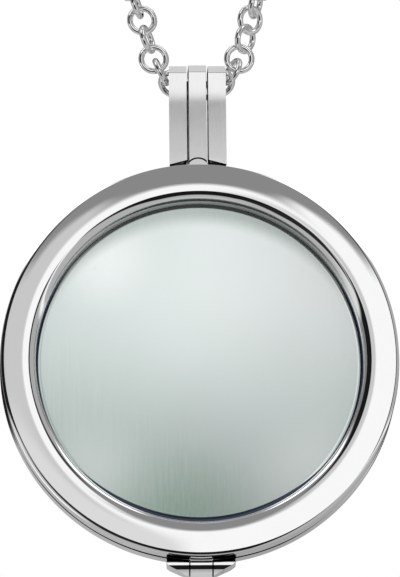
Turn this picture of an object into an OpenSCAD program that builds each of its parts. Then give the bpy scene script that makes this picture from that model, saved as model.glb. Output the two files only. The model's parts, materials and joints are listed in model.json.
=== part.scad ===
// Coin holder pendant on its neck chain: two hinged ring frames clamp a coin,
// and a three-strip bail carries them on a closed loop of chain.
// X runs across the pendant, -Y is its front, +Z is up.
// The origin lies under the clasp, where the chain rests on the nape.

/* [Coin] */
// Diameter of the coin
coin_d = 33; // [32.6:0.1:33.1]
// Thickness of the coin
coin_t = 1.8; // [1.6:0.1:1.9]
// Bevel round the coin's edges
coin_bevel = 0.15; // [0.05:0.05:0.3]

/* [Ring] */
// Outer diameter of the ring
ring_d = 38.76; // [38.4:0.02:40]
// Thickness of the ring, front to back
ring_t = 5.3; // [5.1:0.1:5.8]
// Diameter of the window that shows the coin
window_d = 31.7; // [31:0.1:31.9]
// Diameter of the flat face's inner edge
face_d = 32.8; // [32.4:0.1:34]
// How far the front face swells
face_swell = 0.15; // [0.05:0.05:0.2]
// Where the swell is highest, as a share of the way in from the outer edge
face_crest = 0.7; // [0.6:0.02:0.9]
// Bevel on the ring's outer edges
ring_bevel = 0.2; // [0.05:0.01:0.25]

/* [Bail] */
// Width of each of the three strips
strip_w = 1.74; // [1.5:0.02:1.8]
// Gap between two strips
strip_gap = 0.18; // [0.16:0.02:0.3]
// Thickness of a strip
strip_t = 0.75; // [0.6:0.05:0.85]
// Height of the bail above the ring
bail_rise = 10.1; // [9:0.1:11]
// Depth of the bail, front to back
bail_depth = 4.9; // [4.7:0.1:5]
// Depth of the bevel along the top edges of the bail
bail_bevel = 0.6; // [0.4:0.05:0.7]
// Height of that bevel
bail_bevel_h = 0.8; // [0.7:0.05:0.9]

/* [Hinge] */
// Width of the whole hinge
hinge_w = 6.7; // [6:0.1:7.2]
// Width of the middle knuckle
middle_w = 2.26; // [2:0.02:2.4]
// Diameter of the knuckles
barrel_d = 1.5; // [1.4:0.05:1.5]
// Diameter of the hinge pin
pin_d = 0.7; // [0.6:0.05:0.8]
// Distance from the ring's outer wall to the pin's axis
barrel_drop = 0.87; // [0.86:0.01:1]

/* [Chain] */
// Outer diameter of the chain's links, taken as a tube
chain_d = 2.2; // [2:0.1:2.4]
// Length of the straight stretch on each side
leg_l = 188; // [140:1:240]
// Slant of that stretch from the vertical
leg_angle = 16; // [12:1:22]
// Radius of the bend beside the bail
bend_r = 1.3; // [1.3:0.05:1.6]

/* [Clasp] */
// Length of the clasp
clasp_l = 9.2; // [8:0.1:11]
// Diameter of the clasp's hook end
hook_d = 4; // [3.8:0.1:5]
// Thickness of the clasp
clasp_t = 2; // [1.6:0.1:2.4]

/* [Hidden] */
$fn = 96;

// Running gap between the two ring frames, and where it lies
seam_gap = 0.1;
seam_y = 0.3;
// Play round the coin in its seat, beside each knuckle, round the pin and over the chain
coin_play = 0.05;
knuckle_play = 0.05;
pin_play = 0.04;
chain_play = 0.25;
// How far joined pieces sink into each other
root = 0.6;

ring_r = ring_d / 2;
window_r = window_d / 2;
face_r = face_d / 2;
seat_r = coin_d / 2 + 0.1;
front_y = -ring_t / 2;
back_y = ring_t / 2;
coin_front = -0.3;
coin_back = coin_front + coin_t;
front_lip = coin_front - coin_play;
back_lip = coin_back + coin_play;
front_seam = seam_y - seam_gap / 2;
back_seam = seam_y + seam_gap / 2;

bail_top = ring_r + bail_rise;
bail_half = 1.5 * strip_w + strip_gap;
side_inner = strip_w / 2 + strip_gap;
eye_r = bail_depth / 2 - strip_t;
eye_top = bail_top - strip_t - eye_r;
// Thickness of the bail's floor, between its eye and the ring
floor_t = 1.3;
eye_low = ring_r + floor_t + eye_r;
// The side strips end on a slant just over the front frame
foot_inner = ring_r + 0.4;
foot_outer = ring_r - 0.05;
foot_y = back_seam + 0.1;

axis_y = seam_y;
axis_z = -ring_r - barrel_drop;
barrel_r = barrel_d / 2;
// The pin ends inside the outer knuckles
pin_l = 4.4;
// The knuckles' lower corners are filed off, from this height down to this half-width
taper_top = axis_z + 0.38;
taper_low_x = 1.45;
// The front ring is notched over the outer knuckles, from this depth back to the seam
notch_y = -1.85;
notch_depth = 0.4;

chain_r = chain_d / 2;
run_half = bail_half + 0.1;
run_z = bail_top - strip_t - chain_r - chain_play;
leg_x = run_half + bend_r * cos(leg_angle);
leg_z = run_z + bend_r * (1 - sin(leg_angle));
neck_r = (leg_x + leg_l * sin(leg_angle)) / cos(leg_angle);
neck_centre_z = leg_z + leg_l * cos(leg_angle) + neck_r * sin(leg_angle);
loop_top = neck_centre_z + neck_r;
clasp_angle = asin((clasp_l / 2 + 0.08) / neck_r);
origin_z = loop_top - hook_d / 2;

tube_sides = 8;
bend_steps = 5;
leg_steps = 11;
neck_steps = 18;

// Half of the chain's centre line, from the bail up to the clasp, as [x, z]
bend_sweep = 90 - leg_angle;
neck_sweep = 90 + leg_angle - clasp_angle;
bend_points = [for (i = [0:bend_steps]) let (a = bend_sweep * i / bend_steps)
    [run_half + bend_r * sin(a), run_z + bend_r * (1 - cos(a))]];
leg_points = [for (i = [1:leg_steps]) let (s = leg_l * i / leg_steps)
    [leg_x + s * sin(leg_angle), leg_z + s * cos(leg_angle)]];
neck_points = [for (i = [1:neck_steps]) let (a = neck_sweep * i / neck_steps - leg_angle)
    [neck_r * cos(a), neck_centre_z + neck_r * sin(a)]];
half_route = concat(bend_points, leg_points, neck_points);
half_count = len(half_route);
route = concat(
    [for (i = [half_count - 1:-1:0]) [-half_route[i][0], half_route[i][1]]],
    half_route
);

function direction(path, i) =
    let (last = len(path) - 1, a = path[max(i - 1, 0)], b = path[min(i + 1, last)])
    (b - a) / norm(b - a);

// A tube of flat sides round a path that lies in the XZ plane
module tube(path, radius, sides) {
    count = len(path);
    points = [for (i = [0:count - 1], k = [0:sides - 1])
        let (d = direction(path, i), turn = 360 * (k + 0.5) / sides, out = radius * cos(turn))
        [path[i][0] - d[1] * out, radius * sin(turn), path[i][1] + d[0] * out]];
    skin = [for (i = [0:count - 2], k = [0:sides - 1])
        let (m = (k + 1) % sides, a = i * sides, b = a + sides)
        each [[a + k, a + m, b + m], [a + k, b + m, b + k]]];
    start_cap = [for (k = [sides - 1:-1:0]) k];
    end_cap = [for (k = [0:sides - 1]) (count - 1) * sides + k];
    polyhedron(points, concat(skin, [start_cap, end_cap]));
}

// Places a shape that is drawn round the ring's centre
module hang() {
    translate([0, 0, -origin_z]) children();
}

// Turns a profile of [radius, depth] round the ring's Y axis
module round_y(profile) {
    rotate([-90, 0, 0]) rotate_extrude() polygon(profile);
}

// Extrudes a [y, z] profile along X between two places
module along_x(from, to) {
    translate([from, 0, 0]) rotate([90, 0, 90]) linear_extrude(to - from) children();
}

// Extrudes an [x, z] profile along Y between two places
module along_y(from, to) {
    translate([0, to, 0]) rotate([90, 0, 0]) linear_extrude(to - from) children();
}

// The swelling front face, as [radius, depth] points from the outer edge inwards
face_steps = 6;
face_start = ring_r - ring_bevel;
face_points = [for (i = [0:face_steps]) let (t = i / face_steps)
    [face_start + (face_r - face_start) * t, front_y - face_swell * sin(90 * t / face_crest)]];

module front_ring() {
    round_y(concat(
        [[ring_r, front_seam], [ring_r, front_y + ring_bevel]],
        face_points,
        [[window_r, front_lip], [seat_r, front_lip], [seat_r, front_seam]]
    ));
}

module back_ring() {
    round_y([
        [ring_r, back_seam], [ring_r, back_y - ring_bevel], [face_start, back_y],
        [face_r, back_y], [window_r, back_lip], [seat_r, back_lip], [seat_r, back_seam]
    ]);
}

// Side view of the bail's outline, with its top edges bevelled
module bail_outline(low) {
    half = bail_depth / 2;
    polygon([
        [-half, low], [half, low], [half, bail_top - bail_bevel_h],
        [half - bail_bevel, bail_top], [bail_bevel - half, bail_top],
        [-half, bail_top - bail_bevel_h]
    ]);
}

// Side view of the eye that the chain runs through
module bail_eye() {
    translate([0, eye_low]) circle(eye_r);
    translate([0, eye_top]) circle(eye_r);
    translate([-eye_r, eye_low]) square([2 * eye_r, eye_top - eye_low]);
}

// Front view of the right side strip, slanted at its foot
module strip_front(foot) {
    polygon([
        [side_inner, foot_inner - foot], [bail_half, foot_outer - foot],
        [bail_half, bail_top + 1], [side_inner, bail_top + 1]
    ]);
}

module side_loop() {
    half = bail_depth / 2;
    difference() {
        intersection() {
            along_x(side_inner, bail_half) bail_outline(ring_r - root);
            union() {
                along_y(-half - 1, half + 1) strip_front(0);
                along_y(foot_y, half + 1) strip_front(1.5 * root);
            }
        }
        along_x(side_inner - 1, bail_half + 1) bail_eye();
    }
}

// A post on the back frame stands behind the chain and closes the middle strip
module back_post() {
    low = ring_r - root;
    along_x(-strip_w / 2, strip_w / 2) translate([eye_r, low])
        square([strip_t, bail_top - bail_bevel_h - low]);
}

// The middle strip folds over the chain, as far as the top of the back post
module tongue() {
    half = bail_depth / 2;
    roof_low = bail_top - strip_t + 0.1;
    roof_end = half - bail_bevel * (1 - (bail_top - roof_low) / bail_bevel_h);
    inside = strip_t - half;
    fillet = 0.3;
    foot_z = ring_r - root;
    along_x(-strip_w / 2, strip_w / 2) polygon([
        [-half, foot_z], [inside, foot_z], [inside, roof_low - fillet],
        [inside + fillet, roof_low], [roof_end, roof_low],
        [half - bail_bevel, bail_top], [bail_bevel - half, bail_top],
        [-half, bail_top - bail_bevel_h]
    ]);
}

// Front view of the hinge, with its lower corners filed off
module hinge_front() {
    low = axis_z - barrel_r - 1;
    bottom = axis_z - barrel_r;
    slope = (hinge_w / 2 - taper_low_x) / (taper_top - bottom);
    low_x = taper_low_x - slope * (bottom - low);
    top = root - ring_r;
    polygon([
        [-hinge_w / 2, top], [hinge_w / 2, top], [hinge_w / 2, taper_top],
        [low_x, low], [-low_x, low], [-hinge_w / 2, taper_top]
    ]);
}

// A knuckle between two places, with a block up to the ring between two depths
module knuckle(from, to, block_front, block_back) {
    intersection() {
        union() {
            along_x(from, to) translate([axis_y, axis_z]) circle(barrel_r);
            along_x(from, to) translate([block_front, axis_z])
                square([block_back - block_front, barrel_drop + root]);
        }
        along_y(-ring_t, ring_t) hinge_front();
    }
}

module pin_bore(from, to) {
    along_x(from, to) translate([axis_y, axis_z]) circle(pin_d / 2 + pin_play);
}

module back_frame() {
    side_start = middle_w / 2 + knuckle_play;
    color([0.8, 0.81, 0.82]) hang() difference() {
        union() {
            back_ring();
            side_loop();
            mirror([1, 0, 0]) side_loop();
            back_post();
            knuckle(side_start, hinge_w / 2, foot_y, axis_y + barrel_r);
            knuckle(-hinge_w / 2, -side_start, foot_y, axis_y + barrel_r);
        }
        pin_bore(-pin_l / 2 - pin_play, pin_l / 2 + pin_play);
    }
}

// A notch under the front ring, over the right outer knuckle
module notch() {
    along_x(middle_w / 2 + 0.02, hinge_w / 2 + 0.05)
        translate([notch_y, -ring_r - 1]) square([front_seam + 1 - notch_y, 1 + notch_depth]);
}

module front_frame() {
    half = middle_w / 2 - knuckle_play;
    color([0.86, 0.87, 0.88]) hang() difference() {
        union() {
            front_ring();
            tongue();
            knuckle(-half, half, axis_y - barrel_r, front_seam - 0.05);
        }
        pin_bore(-half - 1, half + 1);
        notch();
        mirror([1, 0, 0]) notch();
    }
}

module hinge_pin() {
    color([0.7, 0.71, 0.72]) hang()
        along_x(-pin_l / 2, pin_l / 2) translate([axis_y, axis_z]) circle(pin_d / 2);
}

module coin() {
    r = coin_d / 2;
    color([0.76, 0.81, 0.79]) hang() round_y([
        [0, coin_front], [r - coin_bevel, coin_front], [r, coin_front + coin_bevel],
        [r, coin_back - coin_bevel], [r - coin_bevel, coin_back], [0, coin_back]
    ]);
}

module chain() {
    color([0.82, 0.83, 0.84]) hang() tube(route, chain_r, tube_sides);
}

module clasp() {
    hook_r = hook_d / 2;
    tail_r = 0.65 * hook_r;
    hook_x = clasp_l / 2 - hook_r;
    tail_x = tail_r - clasp_l / 2;
    neck = 0.9;
    color([0.84, 0.85, 0.86]) translate([0, 0, loop_top - origin_z])
    along_y(-clasp_t / 2, clasp_t / 2) difference() {
        union() {
            translate([hook_x, 0]) circle(hook_r);
            translate([tail_x, 0]) circle(tail_r);
            polygon([
                [tail_x, -neck * tail_r], [hook_x, -neck * hook_r],
                [hook_x, neck * hook_r], [tail_x, neck * tail_r]
            ]);
        }
        translate([hook_x, 0]) circle(hook_r / 2);
        translate([tail_x, 0]) circle(tail_r / 2);
    }
}

chain();
clasp();
back_frame();
front_frame();
hinge_pin();
coin();
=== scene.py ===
# %% [markdown]
# # A coin holder pendant, finished in Blender
# The real object is two polished steel rings, hinged at the bottom, that clamp a pale coin.
# A bail of three strips stands on top, and a chain runs through it. The construction is
# already fixed: this lesson loads it as a frame and builds the visible surfaces around it.
# Nothing in the frame is moved. Pieces that need a mirror finish are modelled again here,
# because a mirror shows every flat facet of a coarse mesh.

# %% Load the frame
import json
import math

import bpy
from mathutils import Matrix, Vector


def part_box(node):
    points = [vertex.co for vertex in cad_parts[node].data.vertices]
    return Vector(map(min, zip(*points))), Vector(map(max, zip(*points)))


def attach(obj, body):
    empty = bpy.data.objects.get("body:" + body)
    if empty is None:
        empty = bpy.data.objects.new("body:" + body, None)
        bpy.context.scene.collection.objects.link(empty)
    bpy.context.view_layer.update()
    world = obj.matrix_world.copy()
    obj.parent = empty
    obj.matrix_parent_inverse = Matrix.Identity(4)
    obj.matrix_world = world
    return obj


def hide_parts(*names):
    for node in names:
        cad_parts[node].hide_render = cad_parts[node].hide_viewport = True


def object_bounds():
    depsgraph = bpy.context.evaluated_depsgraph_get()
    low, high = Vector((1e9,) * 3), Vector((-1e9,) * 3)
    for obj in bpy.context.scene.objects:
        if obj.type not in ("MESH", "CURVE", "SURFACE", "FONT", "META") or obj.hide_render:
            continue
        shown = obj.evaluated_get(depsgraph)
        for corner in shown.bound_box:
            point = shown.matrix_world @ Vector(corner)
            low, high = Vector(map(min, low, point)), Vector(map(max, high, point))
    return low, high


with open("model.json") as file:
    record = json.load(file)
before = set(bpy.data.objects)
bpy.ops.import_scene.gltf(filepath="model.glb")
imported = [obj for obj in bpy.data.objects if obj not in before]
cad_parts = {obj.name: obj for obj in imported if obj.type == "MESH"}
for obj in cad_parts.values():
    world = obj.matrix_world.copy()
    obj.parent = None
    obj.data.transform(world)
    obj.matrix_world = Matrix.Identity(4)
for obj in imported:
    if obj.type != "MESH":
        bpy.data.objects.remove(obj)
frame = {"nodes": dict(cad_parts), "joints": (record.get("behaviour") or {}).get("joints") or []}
cad_low, cad_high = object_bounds()
print("frame box in metres:", tuple(cad_low), tuple(cad_high))

# %% [markdown]
# ## The bench
# Every piece is modelled on a bench: one unit is one millimetre, and the ring's centre is
# the origin. That keeps the numbers readable and keeps Blender's tolerances, which suit
# objects of everyday size, out of the way. A finished piece is then shrunk to metres and
# carried to its place in one step, inside its own mesh, so its object stays at the origin.
# The ring is drawn a hair fuller than the frame's, which brings its outline onto the one in
# the photograph.

# %% Sizes on the bench, read from the frame
MM = 0.001
coin_low, coin_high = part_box("coin")
RING_CENTRE = Vector((0, 0, (coin_low.z + coin_high.z) / 2))


def bench_box(node):
    low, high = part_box(node)
    return (low - RING_CENTRE) / MM, (high - RING_CENTRE) / MM


front_high = bench_box("front_frame")[1]
back_high = bench_box("back_frame")[1]
coin_low, coin_high = bench_box("coin")
clasp_low, clasp_high = bench_box("clasp")
chain_high = bench_box("chain")[1]
joint_places = {j["name"]: (Vector(j["pos_m"]) - RING_CENTRE) / MM for j in frame["joints"]}

FULLNESS = 0.06
RING_R = front_high.x + FULLNESS
BAIL_TOP = front_high.z
BAIL_HALF_DEPTH = front_high.y
RING_BACK = back_high.y
COIN_FRONT = coin_low.y
COIN_BACK = coin_high.y
COIN_R = coin_high.x
SEAM_Y = joint_places["lid_hinge"].y
AXIS_Z = joint_places["lid_hinge"].z
RUN_Z = joint_places["pendant_swing"].z
print("ring radius %.2f, bail top %.2f, hinge axis %.2f mm" % (RING_R, BAIL_TOP, AXIS_Z))

# %% [markdown]
# ## Camera
# The photograph was taken with a long lens, from a little to the left and from below: the
# underside of the ring and its left wall both show. A 600 mm lens gives the same flat
# perspective. The camera aims a little above the ring, because the ring sits low in the
# picture, and it is rolled by a fraction of a degree, as the real one hung slightly askew.

# %% The camera
PIXEL = 0.0975
PICTURE_HEIGHT = 577 * PIXEL
LENS = 600
SENSOR = 36
VIEW_AZIMUTH = math.radians(-1.5)
VIEW_ELEVATION = math.radians(-11.5)
ROLL = math.radians(-0.55)
AIM_UP = 7.37
AIM_RIGHT = 0.13

toward_camera = Vector((
    math.sin(VIEW_AZIMUTH) * math.cos(VIEW_ELEVATION),
    -math.cos(VIEW_AZIMUTH) * math.cos(VIEW_ELEVATION),
    math.sin(VIEW_ELEVATION),
))
turn = (-toward_camera).to_track_quat("-Z", "Y")
view_right = turn @ Vector((1, 0, 0))
view_up = turn @ Vector((0, 1, 0))
camera_data = bpy.data.cameras.new("camera")
camera_data.lens = LENS
camera_data.sensor_width = SENSOR
camera = bpy.data.objects.new("camera", camera_data)
bpy.context.scene.collection.objects.link(camera)
bpy.context.scene.camera = camera
aim = RING_CENTRE + (view_up * AIM_UP + view_right * AIM_RIGHT) * MM
distance = PICTURE_HEIGHT * LENS / SENSOR
camera.location = aim + toward_camera * distance * MM
camera.rotation_mode = "QUATERNION"
camera.rotation_quaternion = turn @ Matrix.Rotation(ROLL, 3, "Z").to_quaternion()
print("camera %.0f mm from the ring" % distance)

# %% [markdown]
# ## Shader maths as Python
# A node tree is easier to read as an expression. This class wraps an output socket, and each
# operator on it adds one Math node. Any other node comes from `Nodes.add`, which sets the
# node's settings first and then its sockets, from numbers or from other wires.

# %% A small wrapper for nodes


class Wire:
    """An output socket that plus, minus and times work on."""

    def __init__(self, nodes, socket):
        self.nodes = nodes
        self.socket = socket

    def math(self, operation, *others):
        return self.nodes.add("ShaderNodeMath", {"operation": operation}, self, *others)

    def __add__(self, other):
        return self.math("ADD", other)

    def __radd__(self, other):
        return self.math("ADD", other)

    def __sub__(self, other):
        return self.math("SUBTRACT", other)

    def __rsub__(self, other):
        return self.nodes.add("ShaderNodeMath", {"operation": "SUBTRACT"}, other, self)

    def __mul__(self, other):
        return self.math("MULTIPLY", other)

    def __rmul__(self, other):
        return self.math("MULTIPLY", other)

    def ramp(self, start, end):
        """0 at start and 1 at end, with soft shoulders."""
        settings = {"interpolation_type": "SMOOTHSTEP"}
        if start < end:
            return self.nodes.add("ShaderNodeMapRange", settings, self, start, end, 0.0, 1.0)
        return self.nodes.add("ShaderNodeMapRange", settings, self, end, start, 1.0, 0.0)

    def between(self, low, high, soft):
        """1 between low and high, 0 outside, with a soft border."""
        return self.ramp(low - soft, low + soft) * self.ramp(high + soft, high - soft)


class Nodes:
    """The nodes of one material or world."""

    def __init__(self, tree):
        self.tree = tree
        tree.nodes.clear()

    def add(self, kind, settings, *values, out=0, **named):
        node = self.tree.nodes.new(kind)
        for name, value in settings.items():
            setattr(node, name, value)
        inputs = [(node.inputs[i], v) for i, v in enumerate(values)]
        inputs += [(node.inputs[name.replace("_", " ")], v) for name, v in named.items()]
        for socket, value in inputs:
            if isinstance(value, Wire):
                self.tree.links.new(value.socket, socket)
            else:
                socket.default_value = value
        return Wire(self, node.outputs[out]) if node.outputs else None

    def colours(self, first, second, share):
        """Mixes two colours, each a triple or a wire."""
        node = self.tree.nodes.new("ShaderNodeMix")
        node.data_type = "RGBA"
        for index, value in ((6, first), (7, second), (0, share)):
            socket = node.inputs[index]
            if isinstance(value, Wire):
                self.tree.links.new(value.socket, socket)
            else:
                socket.default_value = (*value, 1) if isinstance(value, tuple) else value
        return Wire(self, node.outputs[2])

    def place(self, scale=(1, 1, 1), turn=(0, 0, 0)):
        """The point in millimetres from the ring's centre, stretched by scale."""
        point = self.add("ShaderNodeTexCoord", {}, out=3)
        centre = [-RING_CENTRE[i] / MM * scale[i] for i in range(3)]
        stretch = [s / MM for s in scale]
        return self.add("ShaderNodeMapping", {}, point, centre, turn, stretch)

    def noise(self, point, detail=3, roughness=0.5):
        return self.add("ShaderNodeTexNoise", {}, Vector=point, Scale=1.0, Detail=detail,
                        Roughness=roughness)


print("node wrapper ready")

# %% [markdown]
# ## Studio
# Polished steel has almost no look of its own: it shows the room. In the photograph the face
# of the ring is white below, with a dark grey crescent along its top, a light grey left side
# and black lines along its edges. So the room is what needs building. The world plays three
# parts. Seen straight, it is a plain white backdrop. For soft light it is an even white tent.
# For reflections it is a map of the studio, worked out from the direction of the ray.

# %% Directions in the studio
world = bpy.data.worlds.new("studio")
bpy.context.scene.world = world
world.use_nodes = True
sky = Nodes(world.node_tree)

direction = sky.add("ShaderNodeTexCoord", {}, out=0)
across, depth, up = [sky.add("ShaderNodeSeparateXYZ", {}, direction, out=i) for i in range(3)]
elevation = up.math("ARCSINE") * math.degrees(1)
azimuth = across.math("ARCTAN2", depth * -1) * math.degrees(1)
wide = azimuth.math("ABSOLUTE")


def lay(under, share, level):
    """Covers a light level with another one, where share is 1."""
    return under * (1 - share) + share * level


print("directions ready")

# %% [markdown]
# In front there is a white band at eye level, darker on the left. Above it comes a dark gap,
# which starts lowest in the middle, then a white panel on each side, and light from straight
# overhead. Four black cards stand in it, two at eye level and two lower down. One of the low
# ones stands where the camera does, so every sharp inner corner of the steel, which sends
# light straight back, looks black. The other stands to its left. Grey cards stand beside
# the ones at eye level. Angles are in degrees, and a level of 1 is the backdrop's white.

# %% The front half of the studio
front = lay(0.46, elevation.ramp(-60, -85), 0.6)
front = lay(front, elevation.ramp(-11, -7), 1.0)
left_level = elevation.ramp(9.5, 3) * 0.14 + 0.61
front = lay(front, azimuth.ramp(1.3, -1.3) * elevation.ramp(-30, -8), left_level)
aside = (azimuth - 1.5).math("ABSOLUTE")
gap_start = aside.ramp(0, 7) * 7.7 - aside.ramp(10.5, 14.5) * 2 + 11.3
gap_level = wide.ramp(45, 75) * 0.24 + 0.26
front = lay(front, (elevation - gap_start).ramp(0, 4), gap_level)
side_panels = wide.between(44, 76, 2) * elevation.between(38, 68, 2)
front = lay(front, side_panels, 1.5)
front = lay(front, elevation.ramp(79, 92), 0.95)
eye_level = elevation.between(-4, 34, 3)
front = lay(front, azimuth.between(-68, -16.5, 1.5) * eye_level, 0.01)
front = lay(front, azimuth.ramp(-67, -70) * eye_level, 0.2)
front = lay(front, azimuth.between(21, 35, 2) * eye_level, 0.03)
front = lay(front, azimuth.between(36, 78, 3) * eye_level, 0.42)
front = lay(front, azimuth.ramp(77, 80) * eye_level, 0.2)
camera_card = azimuth.between(-17, 22, 2) * elevation.between(-48, -8.5, 1.5)
front = lay(front, camera_card, 0.01)
left_card = azimuth.between(-40, -14, 2) * elevation.between(-45, -6, 2)
front = lay(front, left_card, 0.02)
print("front half ready")

# %% [markdown]
# Behind the pendant it is plain grey, a little lighter on the left, darker towards the sides
# and light overhead and underneath. A white sheet stands low on the left, and a black one
# higher up in the middle. The ring's walls show this half, at a grazing angle.

# %% The back half, and the whole map
steep = elevation.math("ABSOLUTE")
rear = lay(0.38, across.ramp(0, -0.1), 0.46)
rear = lay(rear, steep.ramp(30, 60), 0.6)
rear = lay(rear, elevation.ramp(60, 72), 0.95)
rear = lay(rear, across.math("ABSOLUTE").ramp(0.4, 0.6) * steep.ramp(50, 30), 0.32)
rear = lay(rear, across.between(-0.4, -0.21, 0.015) * elevation.between(-9, 6, 1.5), 1.0)
rear = lay(rear, elevation.between(7.5, 40, 1.5) * across.between(-0.5, 0.45, 0.05), 0.01)

reflected = lay(front, depth.ramp(-0.04, 0.04), rear)
glossy_ray = sky.add("ShaderNodeLightPath", {}, out=3)
shade = sky.add("ShaderNodeBackground", {}, (1, 1, 1, 1), lay(1.0, glossy_ray, reflected))
sky.add("ShaderNodeOutputWorld", {}, shade)
bpy.context.scene.view_settings.view_transform = "Standard"
print("studio map built from %d nodes" % len(world.node_tree.nodes))

# %% [markdown]
# Two soft lamps lift the coin a little from the upper left and right. The floor is a plain
# pale sheet well below the pendant, so that it never cuts into a low view. It stays out of
# the reflections, because the studio map already says what the steel sees below.

# %% Lamps and floor


def soft_lamp(name, place, size, watts):
    data = bpy.data.lights.new(name, "AREA")
    data.size = size
    data.energy = watts
    lamp = bpy.data.objects.new(name, data)
    bpy.context.scene.collection.objects.link(lamp)
    lamp.location = RING_CENTRE + Vector(place)
    lamp.rotation_euler = (-Vector(place)).to_track_quat("-Z", "Y").to_euler()
    lamp.visible_glossy = False
    return lamp


soft_lamp("lamp_left", (-0.5, -0.6, 0.7), 0.5, 1.2)
soft_lamp("lamp_right", (0.7, -0.7, 0.4), 0.5, 0.8)

FLOOR_DROP = 0.25
FLOOR_SIZE = 12
bpy.ops.object.select_all(action="DESELECT")
bpy.ops.mesh.primitive_plane_add(size=FLOOR_SIZE, location=(0, 0, cad_low.z - FLOOR_DROP))
floor = bpy.context.active_object
floor.name = "floor"
bpy.ops.object.transform_apply(location=True)
floor.visible_glossy = False
floor_material = bpy.data.materials.new("floor_paper")
floor_material.use_nodes = True
paper = Nodes(floor_material.node_tree)
grain = paper.noise(paper.add("ShaderNodeTexCoord", {}, out=3), 4) * 0.03 + 0.83
paper_shader = paper.add("ShaderNodeBsdfPrincipled", {},
                         Base_Color=paper.add("ShaderNodeCombineColor", {}, grain, grain, grain),
                         Roughness=0.9)
paper.add("ShaderNodeOutputMaterial", {}, paper_shader)
floor.data.materials.append(floor_material)
print("floor at %.3f m" % (cad_low.z - FLOOR_DROP))

# %% [markdown]
# ## Finishes
# Shade is painted into the tightest places: the pockets beside the middle knuckle, its joints, the
# corners under the bail's feet, the arch round the solder bead, the gaps between the strips and the
# upper part of the window's wall. A mask marks them. It follows the shapes, so the sizes that it
# shares with the bail and with the notches over the hinge are named here already. Sizes are in
# millimetres.

# %% Sizes that the mask shares
STRIP_W = 1.74
STRIP_GAP = 0.18
SIDE_INNER = STRIP_W / 2 + STRIP_GAP
FOOT_RISE = 0.4
FOOT_SLOPE = 0.26
BEAD_R = 1.11
BEAD_Z = RING_R - 0.6
NOTCH_Y = -1.85
NOTCH_INNER = 1.15
NOTCH_OUTER = 3.4
print("side strips start %.2f mm from the middle" % SIDE_INNER)

# %% Where shade is painted into the tight places
CRISP = 0.01
POCKET_LOW = -19.64
POCKET_HIGH = -18.9
POCKET_BACK = 0.6
JOINT_INNER = 1.06
JOINT_OUTER = 1.2
WALL_R = 16.06


def painted_crevice_shade(made):
    """1 where shade is painted into the tight places, 0 elsewhere."""
    place = made.place()
    x, y, z = [made.add("ShaderNodeSeparateXYZ", {}, place, out=i) for i in range(3)]
    x = x.math("ABSOLUTE")
    below = y.between(NOTCH_Y + 0.02, POCKET_BACK, CRISP)
    below = below * z.between(POCKET_LOW, POCKET_HIGH, CRISP)
    deep = z.ramp(-19.3, -19.2) * 0.12 + 0.88
    pocket = below * (x.between(NOTCH_INNER, NOTCH_OUTER - 0.02, CRISP) * deep)
    middle = below * x.ramp(JOINT_INNER, JOINT_INNER - CRISP) * 0.5
    joint = x.between(JOINT_INNER, JOINT_OUTER, CRISP) * z.ramp(-19.4, -19.5)
    flat = made.add("ShaderNodeVectorMath", {"operation": "MULTIPLY"}, place, (1, 0, 1))
    radius = made.add("ShaderNodeVectorMath", {"operation": "LENGTH"}, flat, out=1)
    outside = radius.ramp(RING_R + 0.02, RING_R + 0.04)
    foot_line = RING_R + FOOT_RISE + SIDE_INNER * FOOT_SLOPE
    under = (z + x * FOOT_SLOPE).ramp(foot_line + 0.04, foot_line + 0.02)
    foot = outside * under * x.between(0.9, 2.9, 0.02) * y.ramp(0.6, 0.5) * z.ramp(0, 1)
    away = made.add("ShaderNodeVectorMath", {"operation": "DISTANCE"}, flat, (0, 0, BEAD_Z), out=1)
    arch = away.between(BEAD_R + 0.01, BEAD_R + 0.17, CRISP) * outside * y.ramp(-2.2, -2.3)
    gap = x.between(STRIP_W / 2 - 0.01, SIDE_INNER + 0.01, CRISP) * outside * z.ramp(0, 1) * 0.95
    wall = radius.ramp(WALL_R, WALL_R - 0.04) * z.ramp(4, 11) * y.ramp(0.1, 0) * 0.55
    mask = pocket
    for part in (middle, joint, foot, arch, gap, wall):
        mask = mask.math("MAXIMUM", part)
    return mask


print("crevice mask ready")

# %% [markdown]
# The steel is a metal with a very small roughness. Real polish isn't perfect: faint wipe
# marks in a few directions, a haze that varies across the surface and rare tiny pits. These
# stay weak, because the photograph shows a new, clean piece. The bail's strips are duller:
# they carry fine upright brush marks, and none across.

# %% Polished and brushed steel
# The dark colour of the shade painted into the tight places.
PAINTED_SHADE = (0.015, 0.015, 0.016)


def steel(name, colour, rough, haze, wipe, lean=0.35, crossed=1.0):
    """A steel with wipe marks that lean, in radians, and others across them, and painted shade in
    the tight places.
    """
    material = bpy.data.materials.new(name)
    material.use_nodes = True
    made = Nodes(material.node_tree)
    cloud = made.noise(made.place((0.35, 0.35, 0.35)), 4)
    fine = made.noise(made.place((9, 9, 9)), 2)
    hair = made.noise(made.place((14, 14, 0.6), (0, lean, 0)), 2, 0.7)
    cross = made.noise(made.place((0.7, 16, 16), (0, 0.2, 0)), 2, 0.7)
    pits = made.noise(made.place((5, 5, 5)), 1).ramp(0.78, 0.84)
    roughness = cloud * haze + rough + hair.ramp(0.55, 0.8) * haze + pits * 0.1
    dull = (cloud * 0.5 + fine * 0.5).ramp(0.45, 0.75) * 0.25
    tint = made.colours(colour, tuple(c * 0.93 for c in colour), dull)
    # Painted shade darkens the colour in the tight places.
    with_painted_shade = made.colours(tint, PAINTED_SHADE, painted_crevice_shade(made))
    height = hair * wipe + cross * (wipe * crossed) + pits * -0.4 * wipe
    bump = made.add("ShaderNodeBump", {}, Height=height, Strength=0.08, Distance=0.00001)
    shader = made.add("ShaderNodeBsdfPrincipled", {}, Base_Color=with_painted_shade, Metallic=1.0,
                      Roughness=roughness, Normal=bump)
    made.add("ShaderNodeOutputMaterial", {}, shader)
    return material


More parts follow.
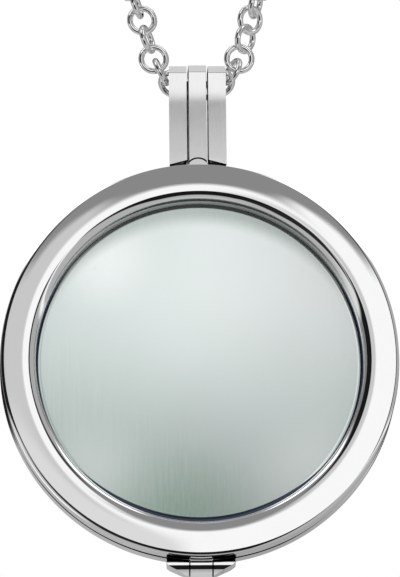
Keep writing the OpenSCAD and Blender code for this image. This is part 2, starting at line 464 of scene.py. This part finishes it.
# After the colour: roughness, haze, strength of the marks, their lean, the share of those across
FINISH = {
    "polished_steel": steel("polished_steel", (0.93, 0.933, 0.936), 0.015, 0.03, 0.4),
    "brushed_steel": steel("brushed_steel", (0.95, 0.948, 0.946), 0.1, 0.05, 1.5, 0.0, 0.0),
    "chain_steel": steel("chain_steel", (0.96, 0.962, 0.965), 0.02, 0.04, 0.6),
    "pin_steel": steel("pin_steel", (0.6, 0.61, 0.62), 0.25, 0.1, 1.0),
}
print("steel finishes:", ", ".join(FINISH))

# %% [markdown]
# The coin is a pale grey-green disc with a pearly gloss. Light and shade are painted into its
# colour: it is paler on the right and at the top, with four painted highlights near its edge, a
# painted shadow crescent along its top and a greener foot with painted shade. Very fine upright
# fibres run through it, and a few specks. The fibres are noise stretched along the upright axis:
# they change the colour and the roughness a little. The bevel round the coin is smoother than its
# face and carries painted shade: grey at the top, almost black elsewhere.

# %% Pearly coin
# Painted highlights on the coin's face, near its edge.
# Columns: across and up in millimetres, reach in millimetres, strength
PAINTED_HIGHLIGHTS = [(-9.5, 11, 7, 0.8), (11.5, 8, 6, 0.7), (-10.5, -12, 8, 0.3), (11.5, -11, 8, 0.5)]


def spot(made, place, across, up, near, far):
    """1 within near millimetres of a point on the coin's face, 0 beyond far."""
    away = made.add("ShaderNodeVectorMath", {"operation": "DISTANCE"}, place, (across, 0, up), out=1)
    return away.ramp(far, near)


def pearl(name):
    material = bpy.data.materials.new(name)
    material.use_nodes = True
    made = Nodes(material.node_tree)
    place = made.place()
    fibre = made.noise(made.place((6, 6, 0.12), (0, 0.03, 0)), 3, 0.6)
    thread = made.noise(made.place((16, 16, 0.3), (0, -0.02, 0)), 2, 0.6)
    cloud = made.noise(made.place((0.09, 0.09, 0.06)), 2)
    specks = made.noise(made.place((3, 3, 2.2)), 1).ramp(0.76, 0.8)
    streak = fibre * 0.6 + thread * 0.4
    height = made.add("ShaderNodeSeparateXYZ", {}, place, out=2)
    radius = made.add("ShaderNodeVectorMath", {"operation": "LENGTH"}, place, out=1)
    rim = (radius + height.ramp(-9, -15.3) * 0.5 + height.ramp(8, 15) * 0.1).ramp(15.68, 15.76)
    # Painted light and shade: paler at the top and on the right, darker below.
    low = height.ramp(9, -9)
    sideways = made.add("ShaderNodeSeparateXYZ", {}, place, out=0).ramp(-14, 12)
    top_painted_light = made.colours((0.70, 0.77, 0.755), (0.94, 1.0, 0.99), sideways)
    bottom_painted_shade = made.colours((0.49, 0.56, 0.535), (0.72, 0.80, 0.78), sideways)
    pale = made.colours(top_painted_light, bottom_painted_shade, low + cloud * 0.3 - 0.15)
    # The painted highlights are laid over the colour.
    highlight_share = 0.0
    for across, up, reach, strength in PAINTED_HIGHLIGHTS:
        highlight_share = spot(made, place, across, up, 0, reach) * strength + highlight_share
    highlighted = made.colours(pale, (0.95, 0.99, 0.98), highlight_share)
    # A painted shadow crescent along the coin's top, under the ring's upper lip.
    top = made.add("ShaderNodeVectorMath", {"operation": "DISTANCE"}, place, (0, 0, -3), out=1)
    shaded = made.colours(highlighted, (0.48, 0.54, 0.51), top.ramp(16.4, 18.2) * 0.9)
    # A greener tint with painted shade at the coin's foot.
    green_foot_shade = made.colours(shaded, (0.42, 0.58, 0.48), spot(made, place, -2, -16, 1, 10) * 0.8)
    tint = made.colours(green_foot_shade, (0.80, 0.86, 0.84), streak.ramp(0.4, 0.65) * 0.1)
    marked = made.colours(tint, (0.5, 0.55, 0.52), specks * 0.3)
    # Painted shade on the bevel: almost black, grey towards the top.
    rim_shade = made.colours((0.04, 0.05, 0.08), (0.42, 0.43, 0.43), height.ramp(5, 13))
    edged = made.colours(marked, rim_shade, rim)
    roughness = (streak * 0.06 + 0.11) * (1 - rim) + rim * 0.06
    bump = made.add("ShaderNodeBump", {}, Height=streak, Strength=0.1, Distance=0.00001)
    shader = made.add("ShaderNodeBsdfPrincipled", {}, Base_Color=edged, Metallic=0.8,
                      Roughness=roughness, Normal=bump)
    made.add("ShaderNodeOutputMaterial", {}, shader)
    return material


FINISH["coin_face"] = pearl("coin_face")
print("coin finish ready")

# %% [markdown]
# ## Working by hand, in code
# A few helpers do what a hand does in edit mode. `arc` and `rounded` work out points on
# paper: an arc, and an outline whose corners get their radius.

# %% Outlines on paper


def arc(centre, radius, start, end, steps):
    """Points on an arc, between two angles in degrees."""
    angles = [math.radians(start + (end - start) * k / steps) for k in range(steps + 1)]
    return [(centre[0] + radius * math.cos(a), centre[1] + radius * math.sin(a)) for a in angles]


def rounded(corners, steps=5):
    """Turns (u, v, radius) corners of a closed outline into points, with arcs at the corners."""
    points = []
    for i, (u, v, radius) in enumerate(corners):
        here = Vector((u, v))
        before = (Vector(corners[i - 1][:2]) - here).normalized()
        after = (Vector(corners[(i + 1) % len(corners)][:2]) - here).normalized()
        if radius == 0:
            points.append((u, v))
            continue
        half = before.angle(after) / 2
        centre = here + (before + after).normalized() * (radius / math.sin(half))
        start = here + before * (radius / math.tan(half)) - centre
        side = -1 if before.x * after.y - before.y * after.x > 0 else 1
        sweep = side * (2 * half - math.pi)
        for k in range(steps + 1):
            points.append(tuple(centre + Matrix.Rotation(-sweep * k / steps, 2) @ start))
    return points


print("outline helpers ready")

# %% [markdown]
# `trace` grows one vertex into a chain of edges by extruding it from point to point. `lathe`
# spins such a chain about the ring's axis. `bar` fills it with a face and pulls that face
# into a solid bar.

# %% Solids from outlines
WELD = 0.0005


def edit(piece):
    bpy.ops.object.select_all(action="DESELECT")
    piece.select_set(True)
    bpy.context.view_layer.objects.active = piece
    bpy.ops.object.mode_set(mode="EDIT")
    bpy.ops.mesh.select_all(action="SELECT")


def finish_edit():
    bpy.ops.mesh.select_all(action="SELECT")
    bpy.ops.mesh.remove_doubles(threshold=WELD)
    bpy.ops.mesh.normals_make_consistent(inside=False)
    bpy.ops.object.mode_set(mode="OBJECT")


def trace(name, points, closed=True):
    """Draws a line through 3D points and stays in edit mode, with all of it selected."""
    bpy.ops.object.select_all(action="DESELECT")
    bpy.ops.mesh.primitive_plane_add(size=1, location=points[0])
    piece = bpy.context.active_object
    piece.name = piece.data.name = name
    bpy.ops.object.transform_apply(location=True)
    bpy.ops.object.mode_set(mode="EDIT")
    bpy.ops.mesh.select_all(action="SELECT")
    bpy.ops.mesh.merge(type="CENTER")
    for here, there in zip(points, points[1:] + points[:closed]):
        bpy.ops.mesh.extrude_region_move(TRANSFORM_OT_translate={"value": there - here})
    bpy.ops.mesh.select_all(action="SELECT")
    bpy.ops.mesh.remove_doubles(threshold=WELD)
    return piece


RING_STEPS = 256


def lathe(name, outline, closed=True):
    """Spins (radius, depth) points about the ring's axis."""
    piece = trace(name, [Vector((r, y, 0)) for r, y in outline], closed)
    bpy.ops.mesh.spin(steps=RING_STEPS, angle=2 * math.pi, center=(0, 0, 0), axis=(0, 1, 0))
    finish_edit()
    return piece


def bar(name, outline, start, end):
    """Fills (depth, height) points and extrudes them across the pendant."""
    piece = trace(name, [Vector((start, y, z)) for y, z in outline])
    bpy.ops.mesh.edge_face_add()
    bpy.ops.mesh.extrude_region_move(TRANSFORM_OT_translate={"value": (end - start, 0, 0)})
    finish_edit()
    return piece


def box(name, low, high):
    """A box between two opposite corners."""
    bpy.ops.object.select_all(action="DESELECT")
    bpy.ops.mesh.primitive_cube_add(size=1, location=[(a + b) / 2 for a, b in zip(low, high)])
    piece = bpy.context.active_object
    piece.name = piece.data.name = name
    piece.scale = [abs(b - a) for a, b in zip(low, high)]
    bpy.ops.object.transform_apply(location=True, rotation=True, scale=True)
    return piece


print("solid helpers ready")

# %% [markdown]
# Solids are then cut, rounded and joined. `soften` rounds the sharp edges and keeps the
# flats flat in reflections. `settle` shrinks a finished piece, carries it to its place,
# gives it its finish and says which body it rides on. The record has one slot for the
# polished and the brushed steel.

# %% Cutting, rounding and settling


def cut_away(piece, cutter):
    """Takes the cutter's shape out of the piece."""
    cut = piece.modifiers.new("cut", "BOOLEAN")
    cut.operation = "DIFFERENCE"
    cut.object = cutter
    bpy.ops.object.select_all(action="DESELECT")
    piece.select_set(True)
    bpy.context.view_layer.objects.active = piece
    bpy.ops.object.modifier_apply(modifier="cut")
    bpy.data.objects.remove(cutter)


def file_off(piece, point, normal):
    """Files away the side of a plane that the normal points to."""
    edit(piece)
    bpy.ops.mesh.bisect(plane_co=point, plane_no=normal, use_fill=True, clear_outer=True)
    finish_edit()


def soften(piece, width, angle=30, segments=3):
    """Rounds the edges sharper than angle."""
    bpy.ops.object.select_all(action="DESELECT")
    piece.select_set(True)
    bpy.context.view_layer.objects.active = piece
    if width > 0:
        bevel = piece.modifiers.new("edges", "BEVEL")
        bevel.width = width
        bevel.segments = segments
        bevel.limit_method = "ANGLE"
        bevel.angle_limit = math.radians(angle)
        bpy.ops.object.modifier_apply(modifier="edges")
    bpy.ops.object.shade_smooth_by_angle(angle=math.radians(38))
    weighted = piece.modifiers.new("normals", "WEIGHTED_NORMAL")
    weighted.weight = 90
    weighted.keep_sharp = True
    bpy.ops.object.modifier_apply(modifier="normals")
    return piece


def join(name, pieces):
    bpy.ops.object.select_all(action="DESELECT")
    for piece in pieces:
        piece.select_set(True)
    bpy.context.view_layer.objects.active = pieces[0]
    bpy.ops.object.join()
    pieces[0].name = pieces[0].data.name = name
    return pieces[0]


def settle(piece, body, slot, *nodes):
    piece.data.transform(Matrix.Translation(RING_CENTRE) @ Matrix.Scale(MM, 4))
    piece.data.materials.clear()
    piece.data.materials.append(FINISH[slot])
    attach(piece, body)
    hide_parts(*nodes)
    print("%s: %d faces" % (piece.name, len(piece.data.polygons)))


print("shop helpers ready")

# %% [markdown]
# ## The two rings
# Each ring is turned metal, so each is one outline spun round an axis. The front face isn't
# flat: it swells by 0.155 mm. The swell's crest is where the white reflection meets the dark
# one in the photograph. Inside the crest the face tilts inward in four bends, each tighter
# than the last, and ends in a steep wall down to the coin: that is the black line and the
# two grey ones inside the ring. The outer edge is rolled back by 38 degrees and ends in a
# tapered side wall. A chamfer on each ring makes the seam show as a dark line.

# %% The front ring's outline
SEAM_GAP = 0.1
SEAM_RADIAL = 0.2
SEAM_DEPTH = 0.6
EDGE_START_R = 19.06
EDGE_TILTS = (7.8, 38)
EDGE_DROP = 0.055
TAPER_DEPTH = 1.0
WINDOW_R = 15.85
SEAT_R = 16.6
FACE_Y = -RING_BACK
SWELL = 0.155
CREST_R = 17.28
FACE_STEPS = 18
INNER_BENDS = [(8.2, (0, 3)), (1.3, (3, 11)), (1.1, (11, 50)), (0.3, (50, 86))]
COIN_PLAY = 0.05


def bend(start, radius, tilts):
    """Goes on from a point along an arc whose tilt towards the middle changes, in degrees."""
    low, high = [math.radians(t) for t in tilts]
    centre = (start[0] + radius * math.sin(low), start[1] + radius * math.cos(low))
    return arc(centre, radius, -90 - math.degrees(low), -90 - math.degrees(high), 9)[1:]


def outer_face():
    """From the side wall round the outer edge and in to the crest."""
    run = EDGE_START_R - CREST_R
    face = [(CREST_R + run * s, FACE_Y - SWELL * math.cos(math.pi / 2 * s))
            for s in [k / FACE_STEPS for k in range(FACE_STEPS, -1, -1)]]
    low, high = [math.sin(math.radians(t)) for t in EDGE_TILTS]
    edge_r = (RING_R - EDGE_DROP - EDGE_START_R) / (high - low)
    edge = bend(face[0], edge_r, [-t for t in EDGE_TILTS])
    return [(RING_R, edge[-1][1] + TAPER_DEPTH)] + edge[::-1] + face


def inner_face(lip_y):
    """From the crest over the bends and down the steep wall to the window."""
    points = [(CREST_R, FACE_Y - SWELL)]
    for radius, tilts in INNER_BENDS:
        points += bend(points[-1], radius, tilts)
    return points[1:] + [(WINDOW_R + 0.02, lip_y - 0.05), (WINDOW_R, lip_y), (SEAT_R, lip_y)]


seam = SEAM_Y - SEAM_GAP / 2
outline = [(SEAT_R, seam), (RING_R - SEAM_RADIAL, seam), (RING_R, seam - SEAM_DEPTH)]
outline += outer_face() + inner_face(COIN_FRONT - COIN_PLAY)
front_ring = lathe("front_ring", outline)
print("front ring turned from %d points" % len(outline))

# %% [markdown]
# At the bottom the front ring is notched on both sides of its own knuckle, where the outer
# knuckles of the back ring reach forward under it. Two boxes cut the notches.

# %% Notches over the outer knuckles
NOTCH_DEPTH = 0.4
for side in (-1, 1):
    corner = (side * NOTCH_INNER, NOTCH_Y, -RING_R - 1)
    opposite = (side * NOTCH_OUTER, SEAM_Y + 1, NOTCH_DEPTH - RING_R)
    cut_away(front_ring, box("notch", corner, opposite))
settle(soften(front_ring, 0), "lid", "polished_steel", "front_frame")

# %% [markdown]
# The back ring is the plainer twin. Its flat back has a short bevel down to its own lip.

# %% Back ring
BACK_FACE_R = 16.7
BACK_WINDOW_R = 15.85
BACK_EDGE = 0.2
BACK_SEAM_DEPTH = 0.08
back_outline = rounded([
    (SEAT_R, SEAM_Y + SEAM_GAP / 2, 0), (SEAT_R, COIN_BACK + COIN_PLAY, 0),
    (BACK_WINDOW_R, COIN_BACK + COIN_PLAY, 0.03), (BACK_FACE_R, RING_BACK, 0.08),
    (RING_R, RING_BACK, BACK_EDGE), (RING_R, SEAM_Y + SEAM_GAP / 2 + BACK_SEAM_DEPTH, 0),
    (RING_R - SEAM_RADIAL, SEAM_Y + SEAM_GAP / 2, 0),
])
back_ring = lathe("back_ring", back_outline)
settle(soften(back_ring, 0), "holder", "polished_steel", "back_frame")

# %% [markdown]
# ## The coin
# The coin is also turned, as half an outline from its middle to its rim and back. Its face is a
# shallow dish. That is hard to see, but together with the light and shade painted into its colour it
# makes the reflection run from bright at the top to dark at the bottom. Round the dish runs a narrow
# polished bevel with painted shade on it: a dark line at the sides and below, and a grey line at the
# top.

# %% Coin
DISH = 0.42
BACK_DISH = DISH * 0.4
DISH_STEPS = 16
DISH_R = 15.5
SHOULDER_R = 16.1
SHOULDER_TILT = 0.1
SHOULDER_BEND = 0.5
COIN_EDGE = 0.1


def coin():
    steps = [i / DISH_STEPS for i in range(DISH_STEPS)] + [0.995, 1]
    front = [(DISH_R * s, COIN_FRONT + DISH * (1 - s ** 2)) for s in steps]
    widths = [(SHOULDER_R - DISH_R) * k / 8 for k in range(9)]
    shoulder = [(DISH_R + w, COIN_FRONT + SHOULDER_TILT * w + SHOULDER_BEND * w ** 2 / 2)
                for w in widths]
    low = shoulder[-1][1]
    rim = [(COIN_R - COIN_EDGE, low), (COIN_R, low + COIN_EDGE),
           (COIN_R, COIN_BACK - COIN_EDGE), (COIN_R - COIN_EDGE, COIN_BACK)]
    back = [(DISH_R * s, COIN_BACK - BACK_DISH * (1 - s ** 2)) for s in reversed(steps)]
    piece = lathe("coin_disc", front + shoulder[1:] + rim + back, closed=False)
    return soften(piece, 0)


settle(coin(), "holder", "coin_face", "coin")

# %% [markdown]
# ## The bail
# Three flat strips carry the ring. The outer two are closed loops on the back ring. The
# middle one is in two parts: its front and roof stand on the front ring, and a post on the
# back ring stands behind the chain. So the lid can swing away from the chain. On the way
# down, the strips' fronts first slant back by two degrees, and then forward by one and a
# half, which eases towards the foot. That bend, in the upper half, is where the white
# reflection near their top turns grey.

# %% The bail's sizes and its bent front
STRIP_T = 0.75
BEVEL_DEPTH = 0.6
BEVEL_HEIGHT = 0.8
FLOOR_T = 1.3
STRIP_EDGE = 0.08
BEND_HIGH = 27.2
BEND_LOW = 25.4
LEAN_HIGH = math.radians(2)
LEAN_BEND = math.radians(-1.5)
LEAN_LOW = math.radians(-0.75)
BEND_STEPS = 6


def bent_front(high, low):
    """Corners down a strip's front, from high to low."""
    steps = [k / BEND_STEPS for k in range(BEND_STEPS + 1)]
    path = [(BEND_HIGH + (BEND_LOW - BEND_HIGH) * s, LEAN_HIGH + (LEAN_BEND - LEAN_HIGH) * s)
            for s in steps]
    path += [(BEND_LOW + (low - BEND_LOW) * s, LEAN_BEND + (LEAN_LOW - LEAN_BEND) * s)
             for s in steps[1:]]
    y, z = -BAIL_HALF_DEPTH, high
    corners = []
    for height, lean in path:
        y += (z - height) * math.tan(lean)
        z = height
        corners.append((y, z, 0))
    return corners


print("strip fronts bend between %.1f and %.1f mm" % (BEND_LOW, BEND_HIGH))

# %% [markdown]
# A side loop starts as two outlines with the same number of points, bridged into a flat
# frame and pulled out to the strip's width. The far end of the loop is turned by three
# degrees about its front edge, so the loop is a little narrower behind. A slanted cut gives
# it its foot, and a block behind the front ring roots it in the back ring.

# %% Side strips
SIDE_DROP = 0.08
NARROWING = math.radians(3)
ROOT_INSET = 0.24
ROOT_DEPTH = 0.8
ROOT_HEIGHT = 1
FOOT_INNER = RING_R + FOOT_RISE


def loop_outlines(low):
    half = BAIL_HALF_DEPTH
    top = BAIL_TOP - SIDE_DROP
    shoulder = top - BEVEL_HEIGHT
    eye = half - STRIP_T
    bow = eye * 0.98
    outer = rounded([
        (half, low, 0.02), (half, shoulder, 0.12), (half - BEVEL_DEPTH, top, 0.12),
        (BEVEL_DEPTH - half, top, 0.12), (-half, shoulder, 0.1),
    ] + bent_front(shoulder, low), 7)
    floor_z = RING_R + FLOOR_T
    roof_z = BAIL_TOP - STRIP_T
    inner = rounded([
        (eye, floor_z, bow), (eye, roof_z, bow),
        (-eye, roof_z, bow), (-eye, floor_z, bow),
    ], 11)
    return outer, inner


def side_strip(name, side):
    start = side * SIDE_INNER
    width = side * STRIP_W
    rims = []
    for outline in loop_outlines(RING_R - 0.3):
        rims.append(trace(name, [Vector((start, y, z)) for y, z in outline]))
        bpy.ops.object.mode_set(mode="OBJECT")
    piece = join(name, rims)
    edit(piece)
    bpy.ops.mesh.bridge_edge_loops()
    bpy.ops.mesh.select_all(action="SELECT")
    bpy.ops.mesh.extrude_region_move(TRANSFORM_OT_translate={"value": (width, 0, 0)})
    bpy.ops.transform.rotate(value=-side * NARROWING, orient_axis="Z",
                             center_override=(start + width, -BAIL_HALF_DEPTH, 0))
    finish_edit()
    file_off(piece, (start, 0, FOOT_INNER), (-side * FOOT_SLOPE, 0, -1))
    return soften(piece, STRIP_EDGE)


for side_name, side in (("left", -1), ("right", 1)):
    loop = side_strip(side_name + "_strip", side)
    inner_x, outer_x = side * SIDE_INNER, side * (SIDE_INNER + STRIP_W - ROOT_INSET)
    root = box("root", (inner_x, SEAM_Y + SEAM_GAP / 2 + 0.1, RING_R - ROOT_DEPTH),
               (outer_x, BAIL_HALF_DEPTH, RING_R + ROOT_HEIGHT))
    piece = join(side_name + "_strip", [loop, soften(root, STRIP_EDGE)])
    settle(piece, "holder", "brushed_steel", "back_frame")

# %% [markdown]
# The middle strip is a single bent bar. The post behind it is a plain block, a little wider than the
# strip, so that no light shows between the strips. Where the strip meets the ring, a small bead of
# solder fills the corner: in the photograph it shows as a bright lens under a dark arch. It is the
# top of a thin disc that leans by three degrees. The dark arch over it is painted shade.

# %% Middle strip, back post and solder bead
BEAD_T = 0.12
BEAD_SINK = 0.018
BEAD_FOOT = RING_R - 0.3
BEAD_TILT = math.radians(3)
POST_PLAY = 0.1
POST_HALF = SIDE_INNER - POST_PLAY
STRIP_ROOT = RING_R - 0.6
ROOF = BAIL_TOP - STRIP_T + 0.1


def middle_strip():
    half = BAIL_HALF_DEPTH
    shoulder = BAIL_TOP - BEVEL_HEIGHT
    roof_end = half - BEVEL_DEPTH * (1 - (BAIL_TOP - ROOF) / BEVEL_HEIGHT)
    outline = rounded([
        (STRIP_T - half, STRIP_ROOT, 0), (STRIP_T - half, ROOF, 0.5), (roof_end, ROOF, 0.04),
        (half - BEVEL_DEPTH, BAIL_TOP, 0.12), (BEVEL_DEPTH - half, BAIL_TOP, 0.12),
        (-half, shoulder, 0.1),
    ] + bent_front(shoulder, STRIP_ROOT))
    piece = bar("middle_strip", outline, -STRIP_W / 2, STRIP_W / 2)
    return soften(piece, STRIP_EDGE)


def solder_bead():
    bpy.ops.object.select_all(action="DESELECT")
    place = (0, -BAIL_HALF_DEPTH + BEAD_T / 2 + BEAD_SINK, BEAD_Z)
    turn = (math.pi / 2 + BEAD_TILT, 0, 0)
    bpy.ops.mesh.primitive_cylinder_add(vertices=64, radius=BEAD_R, depth=BEAD_T, location=place,
                                        rotation=turn)
    bead = bpy.context.active_object
    bead.name = bead.data.name = "solder_bead"
    bpy.ops.object.transform_apply(location=True, rotation=True, scale=True)
    file_off(bead, (0, 0, BEAD_FOOT), (0, 0, -1))
    return soften(bead, 0.01)


front_part = join("middle_strip", [middle_strip(), solder_bead()])
settle(front_part, "lid", "brushed_steel", "front_frame")
post = box("back_post", (-POST_HALF, BAIL_HALF_DEPTH - STRIP_T, STRIP_ROOT),
           (POST_HALF, BAIL_HALF_DEPTH, BAIL_TOP - BEVEL_HEIGHT))
settle(soften(post, STRIP_EDGE), "holder", "brushed_steel", "back_frame")

# %% [markdown]
# ## The hinge
# Three knuckles share one pin: the middle one belongs to the front ring, the outer two to
# the back ring. In side view each has a round nose and a block up to its ring. The outer
# ones also have a rounded heel. The middle one has a plain barrel there, and so clears the
# back ring when the lid opens. The outer knuckles have their lower corners filed off, in
# two flat strokes each, and the right one a little more than the left one.

# %% Side views of the knuckles
HINGE_HALF = 3.35
MIDDLE_HALF = 1.13
KNUCKLE_PLAY = 0.01
BARREL_R = 0.75
NOSE_R = 1.25
HEEL_R = 0.25
KNUCKLE_TOP = 0.5 - RING_R
KNUCKLE_EDGE = 0.08
KNUCKLE_BACK = SEAM_Y + BARREL_R
NECK_HIGH_Y = -0.505
NECK_LOW_Y = -0.479
BLOCK_STEP = 0.16
NOSE_CENTRE = (SEAM_Y - BARREL_R + NOSE_R, AXIS_Z - BARREL_R + NOSE_R)
HEEL_CENTRE = (KNUCKLE_BACK - HEEL_R, AXIS_Z - BARREL_R + HEEL_R)

nose_and_heel = arc(NOSE_CENTRE, NOSE_R, 172, 270, 28) + arc(HEEL_CENTRE, HEEL_R, -90, 0, 10)
nose_top = nose_and_heel[0]
block_y = SEAM_Y + SEAM_GAP / 2 + 0.1
outer_view = nose_and_heel + [(KNUCKLE_BACK, KNUCKLE_TOP), (block_y, KNUCKLE_TOP),
                              (block_y + BLOCK_STEP, nose_top[1] + 0.05),
                              (block_y + BLOCK_STEP, nose_top[1])]
middle_nose = arc(NOSE_CENTRE, NOSE_R, 172, 257, 26)
middle_barrel = arc((SEAM_Y, AXIS_Z), BARREL_R, -71, 97, 32)
middle_view = middle_nose + middle_barrel
middle_view += [(SEAM_Y - 0.1, KNUCKLE_TOP), (NECK_HIGH_Y, KNUCKLE_TOP),
                (NECK_LOW_Y, nose_top[1] + 0.04), (nose_top[0] + 0.06, nose_top[1] + 0.02)]
print("knuckle noses start at %.2f mm" % nose_top[1])

# %% Knuckles
# Each stroke: the height where it is placed, and its direction on the right knuckle
LOW_STROKE = (-20.36, (0.42, -0.14, -0.9))
HIGH_STROKE = (-19.93, (0.62, -0.12, -0.78))
for side_name, side, low_x, high_x in (("left", -1, 2.55, 3.3), ("right", 1, 2.3, 3.1)):
    inner_x = side * (MIDDLE_HALF + KNUCKLE_PLAY)
    knuckle = bar(side_name + "_knuckle", outer_view, inner_x, side * HINGE_HALF)
    for stroke_x, (height, normal) in ((low_x, LOW_STROKE), (high_x, HIGH_STROKE)):
        file_off(knuckle, (side * stroke_x, 0, height), (side * normal[0], normal[1], normal[2]))
    settle(soften(knuckle, KNUCKLE_EDGE), "holder", "polished_steel", "back_frame")

half = MIDDLE_HALF - KNUCKLE_PLAY
knuckle = bar("middle_knuckle", middle_view, -half, half)
settle(soften(knuckle, KNUCKLE_EDGE), "lid", "polished_steel", "front_frame")

# %% [markdown]
# ## The chain
# The chain is a round cable chain: each link is a ring of wire, and every second one is
# turned a quarter about the chain's line. Its route repeats the frame's: a short run through
# the bail, a bend, a straight leg, and an arc round the neck. The few links that show in the
# photograph are placed one by one from a short table. The rest follow the route.

# %% The chain's route
BAIL_HALF = 1.5 * STRIP_W + STRIP_GAP
LEG_ANGLE = math.radians(16)
BEND_R = 1.3
LEG_L = 188
RUN_HALF = BAIL_HALF + 0.1
LEG_X = RUN_HALF + BEND_R * math.cos(LEG_ANGLE)
LEG_Z = RUN_Z + BEND_R * (1 - math.sin(LEG_ANGLE))
NECK_R = (LEG_X + LEG_L * math.sin(LEG_ANGLE)) / math.cos(LEG_ANGLE)
NECK_Z = LEG_Z + LEG_L * math.cos(LEG_ANGLE) + NECK_R * math.sin(LEG_ANGLE)


def route(s):
    """The place s millimetres up the right leg, and the slant of the route from upright."""
    if s < LEG_L:
        return LEG_X + s * math.sin(LEG_ANGLE), LEG_Z + s * math.cos(LEG_ANGLE), LEG_ANGLE
    angle = (s - LEG_L) / NECK_R - LEG_ANGLE
    return NECK_R * math.cos(angle), NECK_Z + NECK_R * math.sin(angle), -angle


print("loop top %.2f, chain box top %.2f mm" % (NECK_Z + NECK_R, chain_high.z))

# %% [markdown]
# A link that repeats hundreds of times has few faces; the near ones are smooth. Both are
# copies of one torus, each with its own mesh, joined at the end.

# %% Links
LINK_R = 1.225
WIRE_R = 0.285
PITCH = 2 * (LINK_R - WIRE_R)


def link_master(name, around, across):
    bpy.ops.object.select_all(action="DESELECT")
    bpy.ops.mesh.primitive_torus_add(major_segments=around, minor_segments=across,
                                     major_radius=LINK_R, minor_radius=WIRE_R)
    master = bpy.context.active_object
    master.name = master.data.name = name
    bpy.ops.object.shade_smooth()
    return master


def place_link(master, x, z, slant, twist):
    """Copies the master to a place; twist turns it about the chain's line, 0 facing front."""
    copy = master.copy()
    copy.data = master.data.copy()
    bpy.context.scene.collection.objects.link(copy)
    along = Vector((math.sin(slant), 0, math.cos(slant)))
    across = Vector((math.cos(slant), 0, -math.sin(slant)))
    normal = Vector((0, -1, 0)) * math.cos(twist) + across * math.sin(twist)
    side = normal.cross(along)
    turn = Matrix((along, side, normal)).transposed().to_4x4()
    copy.data.transform(Matrix.Translation((x, 0, z)) @ turn)
    return copy


# Columns: across, up, slant of the chain there, twist on the left leg, twist on the right leg
NEAR_LINKS = [
    (0.8, 27.3, 88, 45, -45),
    (2.35, 28.0, 60, -45, 45),
    (3.5, 29.2, 25, 80, -66),
    (4.2, 30.5, 16, 6, 4),
    (4.8, 32.5, 16, 69, 54),
    (5.3, 34.4, 16, 10, 38),
    (5.85, 36.0, 16, 76, 72),
]

near_master = link_master("near_link", 40, 14)
near = []
for across_mm, up_mm, slant, left_twist, right_twist in NEAR_LINKS:
    lean = math.radians(slant)
    near.append(place_link(near_master, -across_mm, up_mm, -lean, math.radians(left_twist)))
    near.append(place_link(near_master, across_mm, up_mm, lean, math.radians(right_twist)))
bpy.data.objects.remove(near_master)
settle(join("near_links", near), "necklace", "chain_steel", "chain")

# %% The rest of the chain
CLASP_HALF = clasp_high.x
FADE = 60
TWISTS = (10, 82)
SWAY = 9
route_end = LEG_L + NECK_R * (math.pi / 2 + LEG_ANGLE - math.asin(CLASP_HALF / NECK_R))
last_across, last_up = NEAR_LINKS[-1][:2]
start_s = (last_up - LEG_Z) / math.cos(LEG_ANGLE) + PITCH
count = round((route_end - start_s) / PITCH) + 1
step = (route_end - start_s) / (count - 1)
sidestep = last_across - route(start_s - PITCH)[0]

far_master = link_master("far_link", 10, 5)
far = []
for i in range(count):
    s = start_s + i * step
    x, z, slant = route(s)
    x += sidestep * max(0, 1 - i * step / FADE)
    twist = math.radians(TWISTS[i % 2] + SWAY * math.sin(i * 1.7))
    far.append(place_link(far_master, x, z, slant, twist))
    far.append(place_link(far_master, -x, z, -slant, -twist))
bpy.data.objects.remove(far_master)
settle(join("far_links", far), "necklace", "chain_steel", "chain")
bail_run = 2 * (RUN_HALF + BEND_R * (math.pi / 2 - LEG_ANGLE))
link_count = 2 * (count + len(NEAR_LINKS))
print("%d links, %.0f mm of chain" % (link_count, 2 * route_end + bail_run))

# %% [markdown]
# ## The clasp
# The photograph ends long before the clasp, so it is a plain lobster clasp in outline: a
# hook end with a round hole, a neck, and a small tail ring. Its plate is one traced outline,
# with the holes cut by cylinders, and its edges are rounded until it reads as cast metal.

# %% Clasp
HOOK_R = (clasp_high.z - clasp_low.z) / 2
TAIL_R = 0.65 * HOOK_R
CLASP_Z = (clasp_high.z + clasp_low.z) / 2
CLASP_T = clasp_high.y - clasp_low.y
HOOK_X = CLASP_HALF - HOOK_R
TAIL_X = TAIL_R - CLASP_HALF


def clasp():
    outline = arc((HOOK_X, CLASP_Z), HOOK_R, -96, 96, 20)
    outline += arc((TAIL_X, CLASP_Z), TAIL_R, 97, 263, 20)
    piece = trace("clasp_body", [Vector((x, -CLASP_T / 2, z)) for x, z in outline])
    bpy.ops.mesh.edge_face_add()
    bpy.ops.mesh.extrude_region_move(TRANSFORM_OT_translate={"value": (0, CLASP_T, 0)})
    finish_edit()
    for x, radius in ((HOOK_X, HOOK_R / 2), (TAIL_X, TAIL_R / 2)):
        bpy.ops.object.select_all(action="DESELECT")
        bpy.ops.mesh.primitive_cylinder_add(vertices=48, radius=radius, depth=3 * CLASP_T,
                                            location=(x, 0, CLASP_Z),
                                            rotation=(math.pi / 2, 0, 0))
        cut_away(piece, bpy.context.active_object)
    return soften(piece, 0.3, 40, 4)


settle(clasp(), "necklace", "chain_steel", "clasp")

# %% [markdown]
# ## The pin
# Only the pin keeps the frame's own mesh: it hides inside the knuckles. It gets its finish
# through its material slot, and its mesh isn't touched.

# %% Pin finish
pin = frame["nodes"]["hinge_pin"]
pin.data.materials.clear()
pin.data.materials.append(FINISH["pin_steel"])
print("pin keeps the frame's mesh, with", len(pin.data.polygons), "faces")
